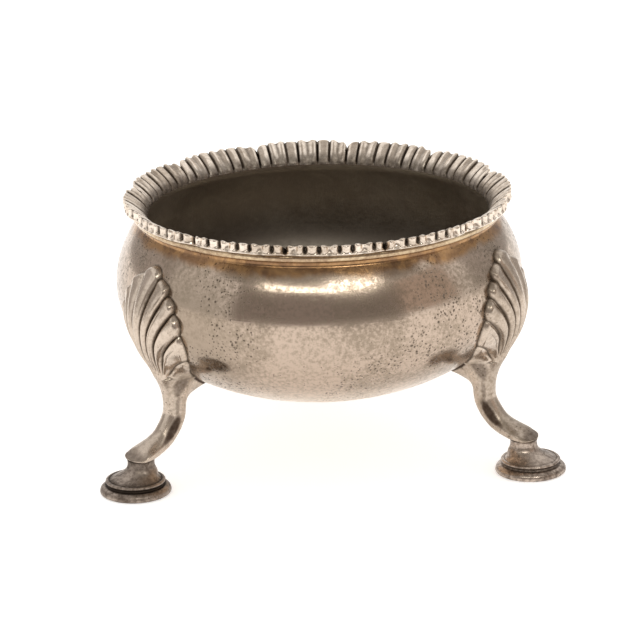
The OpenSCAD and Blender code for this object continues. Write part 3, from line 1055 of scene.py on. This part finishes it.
@dataclass
class ShellKnee:
    """A fluted shell on the knee of a leg."""

    knee: KneeForm
    height: float = 19.1  # Of its top above the joint
    width: float = 16.6
    rim: float = 1.2  # Thickness near the rim
    knee_extra: float = 1.4  # What the knee adds to that
    flute_mm: float = 0.6  # Depth of the grooves
    flute_w: float = 3.0  # Width of a flute at its tip
    groove_w: float = 0.17  # Half-width of the line at the bottom of a groove
    fine_mm: float = 0.14  # Depth of the fine lines on some flutes
    overlap_mm: float = 0.36  # How far each flute's outer edge laps over the next
    notch: float = 0.06  # How far the outline comes in between tips, in flutes' lengths
    edge_round: float = 0.75
    skirt: float = 0.45  # Width of the solder and dirt round the shell
    line_dirt: Point = (0.84, 0.72)  # In the inner and outer grooves
    outer_from: float = 2.8  # Place where the outer grooves start
    fine_dirt: float = 0.45
    rim_dirt: float = 0.75
    # Painted reflection: a dark patch low on each side, going on from the leg's upper one
    reflection_patch: float = 0.5
    columns_per_flute: int = 18
    rows: int = 74  # Of the mesh on its face
    foot_rows: int = 4
    skirt_rows: int = 4

    def __post_init__(self) -> None:
        """Makes the curves that the shell's face follows."""
        places = (0.0, 0.4, 1.0, 2.0, 3.0, 4.0, 4.5, 5.5)
        self.tip_width = Curve(places, (0.0, 0.21, 0.48, 0.71, 0.93, 1.0, 0.93, 0.72))
        self.tip_height = Curve(places, (1.0, 0.985, 0.905, 0.79, 0.62, 0.4, 0.25, 0.12))
        steps = (0.0, 0.12, 0.25, 0.39, 0.53, 0.67, 0.8, 0.92, 1.0)
        extra = (2.05, 1.74, 1.46, 1.24, 0.88, 0.48, 0.08, 0.0)
        middle = [self.rim + self.knee_extra * share for share in extra]
        self.middle = Curve(steps, [self.knee.joint_out] + middle)
        self.flute = Curve((0.0, 0.04, 0.12, 0.25, 0.6, 0.85, 1.0),
                           (0.0, 0.10, 0.6, 1.0, 1.0, 1.0, 0.85))

    def _notch(self, place: float) -> float:
        """Gives how far the outline comes in beside the tips.

        Args:
            place: Place across the shell, 0 or more.

        Returns:
            Share of a flute's length.
        """
        if place >= self.knee.groove_end:
            return self.notch * (1.0 - smooth((place - self.knee.groove_end) / 0.35))
        x = place - round(place)
        if round(place) == 0:
            return self.notch * (2.0 * abs(x)) ** 4
        peak = 0.28
        if x < peak:
            return self.notch * ((peak - x) / (peak + 0.5)) ** 1.6
        return self.notch * ((x - peak) / (0.5 - peak)) ** 2

    def _relief(self, across: float, t: float) -> Point:
        """Gives the flutes' relief and the dirt in their grooves.

        Args:
            across: Place across the shell, 0 or more.
            t: Share of the way from the joint to the rim.

        Returns:
            Height of the relief and share of dirt.
        """
        knee = self.knee
        last = knee.groove_end
        flute = min(round(across), knee.side_flutes)
        x = across - flute
        to_groove = abs(across - last) if across > last else 0.5 - abs(x)
        foot_w = knee.flute_foot_share * knee.joint_w / 2 / last
        local_w = foot_w + (self.flute_w - foot_w) * t
        line_w = min(self.groove_w, 0.14 * local_w)
        vee = math.exp(-((to_groove * local_w / line_w) ** 2))
        broad = 0.0 if across > last else (2.0 * x) ** 2
        strength = self.flute.at(t)
        depth = self.flute_mm * strength * min(1.0, 0.12 + local_w / 1.6)
        relief = -depth * (0.34 * vee + 0.58 * broad)
        lap = smooth((t - 0.2) / 0.6)
        if flute > 0 and across <= last:
            relief += self.overlap_mm * lap * x
        elif across > last:
            relief -= self.overlap_mm * lap * 0.3 * (1.0 - smooth((across - last) / 0.4))
        fine = 0.0
        if flute in (2, 4) and across <= last:
            fine = math.exp(-(((x + 0.06) / 0.055) ** 2)) * smooth((t - 0.3) / 0.15)
            fine *= 1.0 - smooth((t - 0.8) / 0.1)
        line = self.line_dirt[0 if across < self.outer_from else 1]
        dirt_and_shade = clamp(line * vee * strength + self.fine_dirt * fine)
        return relief - self.fine_mm * fine, dirt_and_shade

    def face(self, place: float, t: float) -> tuple[float, float, float, float]:
        """Gives a point of the shell's face.

        Args:
            place: Place across the shell, beyond the end on the skirt.
            t: Share of the way from the joint to the rim, beyond 1 on the skirt.

        Returns:
            Distance from the middle plane, height above the joint, distance out from
            the bowl, and share of dirt and painted reflection.
        """
        knee = self.knee
        across = min(abs(place), knee.end)
        row = min(t, 1.0)
        sign = 1.0 if place >= 0.0 else -1.0
        foot = sign * knee.foot_share(across) * knee.joint_w / 2
        trim = 1.0 - self._notch(across)
        tip = sign * self.width / 2 * self.tip_width.at(across) * trim
        rise = self.height * self.tip_height.at(across) * trim
        side = foot + (tip - foot) * (row - 0.5 * row * (1.0 - row))
        height = rise * (row + 0.15 * row * (1.0 - row))
        length = math.hypot(tip - foot, rise)
        past, aside = max(0.0, t - 1.0), max(0.0, abs(place) - knee.end)
        side += (tip - foot) / length * past * self.skirt + sign * aside * self.skirt
        height += rise / length * past * self.skirt
        middle = self.middle.at(row)
        joint = 1.0 - knee.side_share * knee.foot_share(across) ** 2
        rounded = (self.rim + (middle - self.rim) * (1.0 - (across / knee.end) ** 2)) / middle
        blend = smooth(row / (0.25 + 0.45 * (across / knee.end) ** 2))
        stand = middle * ((1.0 - blend) * joint + blend * rounded)
        relief, dirt_and_shade = self._relief(across, row)
        edge = quarter_round((1.0 - row) * length / self.edge_round) * knee.side_round(across)
        out = (stand + relief + knee.sunk) * edge - knee.sunk
        rim_dirt = 1.0 - smooth(edge / 0.5)
        far = max(past, aside)
        if far > 0.0:
            out = -knee.sunk + 0.07 * (1.0 - smooth(far)) - 0.05 * smooth((far - 0.8) / 0.2)
            rim_dirt = 1.0 - smooth(far * 1.1)
        # Painted reflection: a dark patch low on each side of the shell
        reflection_patch = self.reflection_patch * spot((abs(side) - 3.3) / 1.1, (height + 1.6) / 2.5)
        return side, height, out, max(dirt_and_shade, self.rim_dirt * rim_dirt, reflection_patch)

    def build(self, index: int, material: Material) -> None:
        """Makes a shell: a folded grid, of which the first half is the back.

        Args:
            index: Which leg it belongs to, from 0.
            material: Its silver.
        """
        knee = self.knee
        width = knee.end + 1.0
        face_rows = self.rows + self.skirt_rows
        total = 2 * face_rows + self.foot_rows
        made = bmesh.new()
        dirt_and_shade = new_layers(made)
        bmesh.ops.create_grid(made, x_segments=round(2 * width * self.columns_per_flute),
                              y_segments=total, size=0.5)
        for vertex in made.verts:
            place = 2.0 * vertex.co.x * width
            level = round((vertex.co.y + 0.5) * total)
            on_back = level < face_rows
            step = face_rows - level if on_back else max(0, level - face_rows - self.foot_rows)
            t = min(step / self.rows, 1.0) ** 0.85 + max(0, step - self.rows) / self.skirt_rows
            side, height, out, vertex[dirt_and_shade] = self.face(place, t)
            low = -2.0 * knee.sunk
            if on_back:
                out = low if t < 2.0 and abs(place) < knee.end + 0.999 else out
            elif level <= face_rows + self.foot_rows:
                out = low + (out - low) * (level - face_rows) / self.foot_rows
            z = knee.joint_z + height
            vertex.co = at_turn(knee.form.outside_r(z) + out, LEG_TURNS[index] + math.degrees(
                side / knee.form.widest_r), z)
        Piece(f"shell_{index + 1}", (f"shell_knee_{index + 1}",), MaterialSlot.SHELL,
              material, 60.0).finish(made)


@dataclass(frozen=True)
class ReflectionPatch:
    """A painted reflection: a dark patch on both sides of a leg."""

    dirt_and_shade: float
    around: float  # Turn of its middle from the leg's front
    spread: float  # Half its width, in degrees
    z: float  # Height of its middle
    reach: float  # Half its height
    narrowing: float = 0.0  # How much narrower it is at the leg's head, in degrees


@dataclass
class Leg:
    """A cabriole leg from its head under the bowl to its toe.

    A station along it is a ring of the table, and one more past the ankle is the head.
    """

    knee: KneeForm
    foot_r: float  # Radius of the foot's middle
    toe_z: float  # Height of the toe's underside
    ankle_in: float = 8.1  # How far the ankle stands in from the foot
    ankle_z: float = 13.0
    ankle_t: float = 3.7
    ankle_w: float = 4.5
    toe_t: float = 1.6
    toe_w: float = 5.1
    spur_l: float = 4.3  # Reach of the head under the bowl
    head_dirt: float = 0.9
    toe_dirt: float = 0.5
    # Painted reflections: dark patches on both sides of the leg
    reflection_patches: tuple[ReflectionPatch, ...] = (ReflectionPatch(0.5, 62.0, 27.0, 17.4, 2.5, 8.0),
                                 ReflectionPatch(0.72, 76.0, 29.0, 9.9, 2.6),
                                 ReflectionPatch(0.42, 68.0, 14.0, 13.6, 2.4))
    ring_steps: int = 64
    fine: int = 5  # Rings from one of the table to the next
    head_rings: int = 30  # Rings between ankle and joint

    def __post_init__(self) -> None:
        """Makes the curves of the middle line and the section."""
        outs = (1.13, 1.07, 0.97, 0.83, 0.66, 0.48, 0.33, 0.2, 0.09, 0.02, 0.0)
        heights = (0.03, 0.042, 0.064, 0.118, 0.165, 0.24, 0.34, 0.49, 0.67, 0.85, 1.0)
        thick = (0.08, 0.28, 0.58, 0.5, 0.7, 0.81, 0.88, 0.96, 1.0, 1.0, 1.0)
        wide = (0.3, 0.76, 1.0, 1.02, 0.97, 1.04, 1.0, 0.97, 0.97, 0.98, 1.0)
        numbers = range(len(outs))
        self.last = len(outs) - 1
        self.out = Curve(numbers, outs)
        self.rise = Curve(numbers, heights)
        self.half_t = Curve(numbers, [share * (self.toe_t if i < 3 else self.ankle_t) / 2
                                      for i, share in enumerate(thick)])
        self.half_w = Curve(numbers, [share * (self.toe_w if i < 5 else self.ankle_w) / 2
                                      for i, share in enumerate(wide)])

    def _middle(self, station: float) -> Point:
        """Radius and height of the middle line at a station."""
        return (self.foot_r - self.ankle_in * (1.0 - self.out.at(station)),
                self.toe_z + (self.ankle_z - self.toe_z) * self.rise.at(station))

    def _low_point(self, station: float, angle: float) -> Vector:
        """Gives a point of the lower leg.

        Args:
            station: Along the leg.
            angle: Round the ring, 0 at the front.

        Returns:
            Radius, distance from the middle plane and height.
        """
        r, z = self._middle(station)
        before = self._middle(max(0.0, station - 0.3))
        after = self._middle(min(float(self.last), station + 0.3))
        along_r, along_z = after[0] - before[0], after[1] - before[1]
        length = math.hypot(along_r, along_z)
        up_r, up_z = along_z / length, -along_r / length
        if station >= self.last:
            up_r, up_z = 1.0, 0.0
        share = math.cos(angle)
        if share < 0.0:
            share = -abs(share) ** (0.3 + 0.7 * smooth((station - 2.5) / 3.0))
        half = self.half_t.at(station) * share
        flat = 0.9 if station < 3 else 1.0
        wide = self.half_w.at(station) * math.copysign(abs(math.sin(angle)) ** flat,
                                                       math.sin(angle))
        return Vector((r + up_r * half, wide, max(self.toe_z, z + up_z * half)))

    def _top_point(self, angle: float) -> Vector:
        """Gives a point of the head's top ring, on the joint's edge or under the bowl.

        Args:
            angle: Round the ring, 0 at the front.

        Returns:
            Radius, distance from the middle plane and height.
        """
        knee, form = self.knee, self.knee.form
        sine, share = math.sin(angle), abs(math.sin(angle))
        r0 = form.outside_r(knee.joint_z)
        if math.cos(angle) >= 0.0:
            return Vector((r0 + knee.joint_stand(knee.place_at(share)),
                           sine * knee.joint_w / 2, knee.joint_z))
        t = math.acos(clamp(share)) / (math.pi / 2)
        r = r0 - self.spur_l * t ** 1.2
        wide = knee.joint_w / 2 * (1.0 - t) ** 0.8
        return Vector((r, math.copysign(wide, sine), form.underside_z(r) + knee.sunk))

    def place(self, station: float, angle: float) -> Vector:
        """Places a ring's point.

        Args:
            station: Along the leg.
            angle: Round the ring, 0 at the front.

        Returns:
            Radius, distance from the middle plane and height.
        """
        if station <= self.last:
            return self._low_point(station, angle)
        share = station - self.last
        low, top = self._low_point(self.last, angle), self._top_point(angle)
        flare = share ** 2.2
        return Vector((low.x + (top.x - low.x) * flare, low.y + (top.y - low.y) * flare,
                       low.z + (top.z - low.z) * share))

    def build(self, index: int, material: Material) -> None:
        """Makes a leg ring by ring.

        Args:
            index: Which leg, from 0.
            material: Its silver.
        """
        made = bmesh.new()
        new_layers(made)
        mark = made.verts.layers.int.new("step")
        dirt_and_shade = made.verts.layers.float[Mask.GRIME_AND_SHADE.value]
        ring = bmesh.ops.create_circle(made, cap_ends=False, radius=1.0,
                                       segments=self.ring_steps)["verts"]
        for step, vertex in enumerate(ring):
            vertex[mark] = step
        stations = [i / self.fine for i in range(self.last * self.fine + 1)]
        stations += [self.last + (i + 1) / self.head_rings for i in range(self.head_rings)]
        edges = list(made.edges)
        for number, station in enumerate(stations):
            if number:
                grown = bmesh.ops.extrude_edge_only(made, edges=edges)["geom"]
                fresh = {item for item in grown if isinstance(item, Vert)}
                edges = [item for item in grown if isinstance(item, bmesh.types.BMEdge)
                         and all(vertex in fresh for vertex in item.verts)]
            for vertex in {vertex for edge in edges for vertex in edge.verts}:
                angle = 2.0 * math.pi * vertex[mark] / self.ring_steps
                point = self.place(station, angle)
                vertex.co = at_turn(point.x, LEG_TURNS[index] + math.degrees(
                    point.y / self.knee.form.widest_r), point.z)
                vertex[dirt_and_shade] = self._dirt_and_reflections(station, angle, point.z)
        bmesh.ops.holes_fill(made, edges=[e for e in made.edges if e.is_boundary], sides=0)
        Piece(f"cabriole_{index + 1}", (f"leg_{index + 1}",), MaterialSlot.LEG,
              material).finish(made)

    def _dirt_and_reflections(self, station: float, angle: float, z: float) -> float:
        """Gives the dirt at the head's edge and the toe, and the painted reflections on both sides.

        Args:
            station: Along the leg.
            angle: Round the ring, 0 at the front.
            z: Height of the point.

        Returns:
            Share of dirt and painted reflection.
        """
        around = abs(math.degrees(math.atan2(math.sin(angle), math.cos(angle))))
        above = station - self.last
        head = self.head_dirt * smooth((above - 0.9) / 0.08) * smooth(-math.cos(angle) / 0.2)
        on_toe = 1.0 - smooth((station - 1.5) / 2.5)
        # Painted reflections: dark patches on both sides of the leg
        reflection_patches = [reflection_patch.dirt_and_shade * spot(
            (around - reflection_patch.around) / (reflection_patch.spread - reflection_patch.narrowing * clamp(above) ** 2),
            (z - reflection_patch.z) / reflection_patch.reach) for reflection_patch in self.reflection_patches]
        return max(head, self.toe_dirt * on_toe * smooth(math.cos(angle) / 0.6), *reflection_patches)


@dataclass(frozen=True)
class PadPoint:
    """A point of a pad's turned outline."""

    out: float  # Share of the pad's radius
    height: float  # Share of its height
    dirt_and_shade: float = 0.05


PAD_FACE = (
    PadPoint(0.872, 0.000, 0.5), PadPoint(0.949, 0.014, 0.2), PadPoint(0.991, 0.050),
    PadPoint(1.000, 0.090), PadPoint(0.990, 0.144), PadPoint(0.957, 0.199),
    PadPoint(0.903, 0.238), PadPoint(0.855, 0.256, 0.2), PadPoint(0.829, 0.256, 0.42),
    PadPoint(0.797, 0.271, 0.5), PadPoint(0.783, 0.300, 0.52), PadPoint(0.797, 0.336, 0.4),
    PadPoint(0.827, 0.361, 0.15), PadPoint(0.838, 0.390), PadPoint(0.824, 0.419),
    PadPoint(0.790, 0.437, 0.1), PadPoint(0.756, 0.437, 0.25), PadPoint(0.738, 0.426, 0.45),
    PadPoint(0.725, 0.437, 0.3), PadPoint(0.641, 0.487, 0.1), PadPoint(0.538, 0.569),
    PadPoint(0.462, 0.650), PadPoint(0.407, 0.740, 0.12), PadPoint(0.379, 0.830, 0.2),
    PadPoint(0.376, 0.903, 0.2), PadPoint(0.382, 0.966, 0.2), PadPoint(0.393, 1.000, 0.25),
)
PAD_CONE = 18  # First point of the cone under the neck


@dataclass
class PadFoot:
    """A turned pad under a toe."""

    foot_r: float  # Radius of its middle from the bowl's axis
    radius: float
    top_z: float
    neck_in: float = 1.2  # How far the neck stands in from the disc's middle
    neck_fade: float = 1.6  # Height over which it does
    hollow_mm: float = 0.3  # Depth of the hollow underside
    hollow_in: float = 1.9  # How far its flat part lies in from the rim
    edge_in: float = 1.4
    edge_z: float = 0.05
    # Painted shade on the pad's underside
    under_shade: float = 0.7
    pad_shades: tuple[float, float, float] = (0.1, 0.32, 0.02)  # Painted shade over each whole pad, for how much light each one gets
    turns: int = 96
    fine: int = 3  # Steps between two points of the outline's table

    def _outline(self) -> tuple[list[Point], list[float]]:
        """Gives the turned outline.

        Returns:
            Its points and the dirt and painted shade at each.
        """
        face = refined(PAD_FACE, self.fine)
        r, top = self.radius, self.top_z
        under = [(0.0, self.hollow_mm), (r - self.hollow_in, self.hollow_mm),
                 (r - self.edge_in, self.edge_z)]
        marks = [self.under_shade] * len(under) + [row[2] for row in face] + [self.under_shade]
        return under + [(r * row[0], top * row[1]) for row in face] + [(0.0, top)], marks

    def build(self, index: int, material: Material) -> None:
        """Makes a pad foot.

        Args:
            index: Which leg it belongs to, from 0.
            material: Its silver.
        """
        outline, marks = self._outline()
        made, station, dirt_and_shade = spun(outline, self.turns)
        cone_z = self.top_z * PAD_FACE[PAD_CONE].height
        cone_start = len(outline) - 2 - (len(PAD_FACE) - 1 - PAD_CONE) * self.fine
        for vertex in made.verts:
            number, level = vertex[station], vertex.co.z
            # Dirt and painted shade from the outline, plus each pad's painted shade
            vertex[dirt_and_shade] = clamp(marks[number] + self.pad_shades[index])
            if number >= cone_start:
                vertex.co.x -= self.neck_in * smooth((level - cone_z) / self.neck_fade + 0.1)
        bmesh.ops.translate(made, verts=made.verts, vec=(self.foot_r, 0.0, 0.0))
        turned = Matrix.Rotation(math.radians(LEG_TURNS[index]), 3, "Z")
        bmesh.ops.rotate(made, verts=made.verts, cent=(0, 0, 0), matrix=turned)
        Piece(f"pad_{index + 1}", (f"pad_foot_{index + 1}",), MaterialSlot.FOOT, material,
              40.0).finish(made)


@dataclass(frozen=True)
class Panel:
    """A curved panel round the salt, seen only in its reflections."""

    name: str
    left: float  # Turn of its first edge from the camera's direction
    right: float
    low: float  # Elevation of its lower edge, in degrees
    high: float
    radiance: tuple[float, float, float]


PANELS = (
    Panel("ceiling_card", -70.0, 70.0, 37.0, 67.0, (0.42, 0.40, 0.37)),
    Panel("top_card", -180.0, 180.0, 67.5, 90.0, (0.50, 0.47, 0.44)),
    Panel("dark_card", -50.0, 46.0, 0.5, 36.2, (0.36, 0.325, 0.305)),
    Panel("brown_card", 46.0, 82.0, 5.0, 36.0, (0.62, 0.52, 0.45)),
    Panel("left_strip", -38.0, 6.0, 36.0, 41.0, (4.4, 4.4, 4.1)),
    Panel("right_strip", 6.0, 38.0, 36.0, 45.0, (6.2, 6.2, 5.9)),
    Panel("left_card", -148.0, -96.0, 2.0, 32.0, (0.55, 0.52, 0.50)),
    Panel("right_card", 96.0, 148.0, 2.0, 32.0, (0.55, 0.52, 0.50)),
)


@dataclass
class Studio:
    """The pale floor, the light and the camera."""

    camera_at: tuple[float, float, float] = (-50.1, -577.9, 209.7)
    aim: tuple[float, float, float] = (0.0, 1.0, 21.5)
    lens: float = 205.0
    sensor: float = 36.0
    roll: float = -1.34  # Turn of the camera about its own axis, in degrees
    distance: float = 800.0  # Of the first panel from the salt
    step: float = 5.0  # How much nearer each further panel is
    floor_m: float = 3.0
    floor_colour: Colour = (0.82, 0.81, 0.80, 1.0)
    floor_glow: float = 0.55
    white: Colour = (1.0, 0.985, 0.965, 1.0)  # The light's colour

    def build(self) -> None:
        """Sets up the whole studio."""
        bpy.context.scene.view_settings.view_transform = "Standard"
        self._world()
        self._floor()
        for number, panel in enumerate(PANELS):
            self._panel(panel, self.distance - self.step * number)
        self._camera()

    def _world(self) -> None:
        """Surrounds the salt with soft white light."""
        world = bpy.data.worlds.new("white_room")
        bpy.context.scene.world = world
        world.use_nodes = True
        NodeHand(world.node_tree).fill(world.node_tree.nodes["Background"], {
            "Color": self.white, "Strength": 1.0})

    def _floor(self) -> None:
        """Lays the pale floor."""
        made = bmesh.new()
        bmesh.ops.create_grid(made, x_segments=1, y_segments=1, size=self.floor_m)
        material = new_material("pale_floor")
        NodeHand(material.node_tree).fill(material.node_tree.nodes["Principled BSDF"], {
            "Base Color": self.floor_colour, "Roughness": 0.75, "Emission Color": self.white,
            "Emission Strength": self.floor_glow})
        floor = new_object("floor", made, material)

    def _panel(self, panel: Panel, distance: float) -> None:
        """Hangs a curved panel that only reflections see.

        Args:
            panel: Its place and brightness.
            distance: Its distance from the salt.
        """
        facing = math.degrees(math.atan2(self.camera_at[1], self.camera_at[0]))
        made = bmesh.new()
        bmesh.ops.create_grid(made, x_segments=32, y_segments=6, size=0.5)
        for vertex in made.verts:
            turn = facing + panel.left + (panel.right - panel.left) * (vertex.co.x + 0.5)
            rise = math.radians(panel.low + (panel.high - panel.low) * (vertex.co.y + 0.5))
            vertex.co = at_turn(distance * math.cos(rise), turn, distance * math.sin(rise)) * MM
        material = new_material(panel.name)
        nodes = material.node_tree.nodes
        nodes.remove(nodes["Principled BSDF"])
        hand = NodeHand(material.node_tree)
        glow = hand.add("Emission", {"Color": (*panel.radiance, 1.0)}).outputs[0]
        hand.fill(nodes["Material Output"], {"Surface": glow})
        screen = new_object(panel.name, made, material)
        screen.visible_camera = False
        screen.visible_diffuse = False
        screen.visible_shadow = False

    def _camera(self) -> None:
        """Places the camera at the photograph's viewing angle and distance."""
        data = bpy.data.cameras.new("camera")
        data.sensor_width = self.sensor
        data.lens = self.lens
        data.clip_start = 0.01
        camera = bpy.data.objects.new("camera", data)
        bpy.context.scene.collection.objects.link(camera)
        camera.location = Vector(self.camera_at) * MM
        towards = (Vector(self.aim) - Vector(self.camera_at)).normalized()
        roll = Quaternion((0.0, 0.0, 1.0), math.radians(self.roll))
        camera.rotation_euler = (towards.to_track_quat("-Z", "Y") @ roll).to_euler()
        bpy.context.scene.camera = camera


BOWL_SILVER = BowlSilver("bowl_silver", (0.51, 0.405, 0.325, 1.0), (0.315, 0.25, 0.19, 1.0),
                         fleck_share=1.25, pit_cover=1.0, pit_strength=0.7)
RIM_SILVER = SilverFinish("rim_silver", (0.92, 0.81, 0.70, 1.0), (0.56, 0.465, 0.375, 1.0),
                          (0.07, 0.052, 0.038, 1.0), roughness=0.12, pit_cover=0.06)
COLLAR_SILVER = SilverFinish("collar_silver", (0.66, 0.52, 0.34, 1.0), (0.36, 0.25, 0.16, 1.0),
                             pit_cover=0.15)
SHELL_SILVER = SilverFinish("shell_silver", (0.60, 0.505, 0.42, 1.0), (0.37, 0.30, 0.235, 1.0),
                            (0.10, 0.074, 0.052, 1.0), roughness=0.2, pit_cover=0.25)
LEG_SILVER = SilverFinish("leg_silver", (0.55, 0.46, 0.38, 1.0), (0.34, 0.275, 0.215, 1.0),
                          (0.075, 0.05, 0.036, 1.0), roughness=0.25, fleck_share=1.0,
                          pit_cover=0.7)
FOOT_SILVER = SilverFinish("foot_silver", (0.50, 0.415, 0.35, 1.0), (0.20, 0.155, 0.125, 1.0),
                           (0.05, 0.037, 0.028, 1.0), roughness=0.25, cloud_scale=150.0,
                           fleck_share=1.1, pit_cover=0.8)


def main() -> None:
    """Builds and dresses the salt, then sets up the studio."""
    logging.basicConfig(level=logging.INFO, format="%(name)s %(message)s")
    low, high = node_box("bowl")
    form = BowlForm(widest_r=high.x, bottom_z=low.z, lip_top_z=high.z)
    effects = SilverEffects()
    Bowl(form).build(BOWL_SILVER.build(effects))
    Collar(form).build(COLLAR_SILVER.build(effects))
    Border(form).build(RIM_SILVER.build(effects))
    leg_low, leg_high = node_box("leg_1")
    knee = KneeForm(form, joint_z=(leg_high.z + node_box("shell_knee_1")[0].z) / 2)
    pad_low, pad_high = node_box("pad_foot_1")
    pad_r = (pad_high.x - pad_low.x) / 2
    foot_r = pad_high.y - pad_r
    kinds = (ShellKnee(knee), Leg(knee, foot_r, leg_low.z), PadFoot(foot_r, pad_r, leg_low.z))
    silvers = [finish.build(effects) for finish in (SHELL_SILVER, LEG_SILVER, FOOT_SILVER)]
    for index in range(len(LEG_TURNS)):
        for kind, silver in zip(kinds, silvers):
            kind.build(index, silver)
    Studio().build()


if __name__ == "__main__":
    main()
